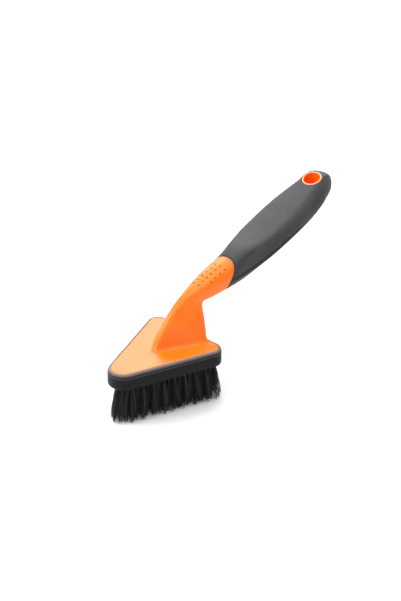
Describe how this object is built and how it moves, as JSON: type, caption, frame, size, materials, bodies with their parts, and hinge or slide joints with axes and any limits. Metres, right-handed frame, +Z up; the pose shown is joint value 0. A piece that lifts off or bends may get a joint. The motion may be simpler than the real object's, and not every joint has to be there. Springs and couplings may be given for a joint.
{
  "type": "wheel brush",
  "caption": "Hand brush for car wheels: rounded-triangular bristled head under a flared neck, with a raised curved soft grip and a hanging hole at its end.",
  "frame": {"origin": "centre of the box around the brush, on the plane that its bristle tips stand on", "axes": "+X along the handle, away from the head's tip; +Z up, from the bristle tips to the grip; +Y to the left"},
  "size_m": [0.2611, 0.076, 0.1327],
  "materials": {
    "orange_plastic": "moulded polypropylene, soft gloss",
    "grip_rubber": "matte moulded soft grip",
    "bumper_rubber": "satin moulded soft rubber",
    "black_plastic": "moulded black plastic",
    "bristle": "drawn nylon filament, faint sheen",
    "staple_steel": "flat drawn wire"
  },
  "bodies": {
    "root": {"handle_frame": "orange_plastic", "grip": "grip_rubber", "bumper": "bumper_rubber", "bristle_block": "black_plastic", "tuft_anchors": "staple_steel", "tuft_01": "bristle", "tuft_02": "bristle", "tuft_03": "bristle", "tuft_04": "bristle", "tuft_05": "bristle", "tuft_06": "bristle", "tuft_07": "bristle", "tuft_08": "bristle", "tuft_09": "bristle", "tuft_10": "bristle", "tuft_11": "bristle", "tuft_12": "bristle", "tuft_13": "bristle", "tuft_14": "bristle", "tuft_15": "bristle", "tuft_16": "bristle", "tuft_17": "bristle", "tuft_18": "bristle", "tuft_19": "bristle", "tuft_20": "bristle", "tuft_21": "bristle", "tuft_22": "bristle", "tuft_23": "bristle", "tuft_24": "bristle", "tuft_25": "bristle", "tuft_26": "bristle", "tuft_27": "bristle", "tuft_28": "bristle", "tuft_29": "bristle", "tuft_30": "bristle", "tuft_31": "bristle", "tuft_32": "bristle", "tuft_33": "bristle", "tuft_34": "bristle", "tuft_35": "bristle", "tuft_36": "bristle", "tuft_37": "bristle", "tuft_38": "bristle", "tuft_39": "bristle", "tuft_40": "bristle", "tuft_41": "bristle", "tuft_42": "bristle", "tuft_43": "bristle", "tuft_44": "bristle", "tuft_45": "bristle", "tuft_46": "bristle"}
  },
  "joints": []
}
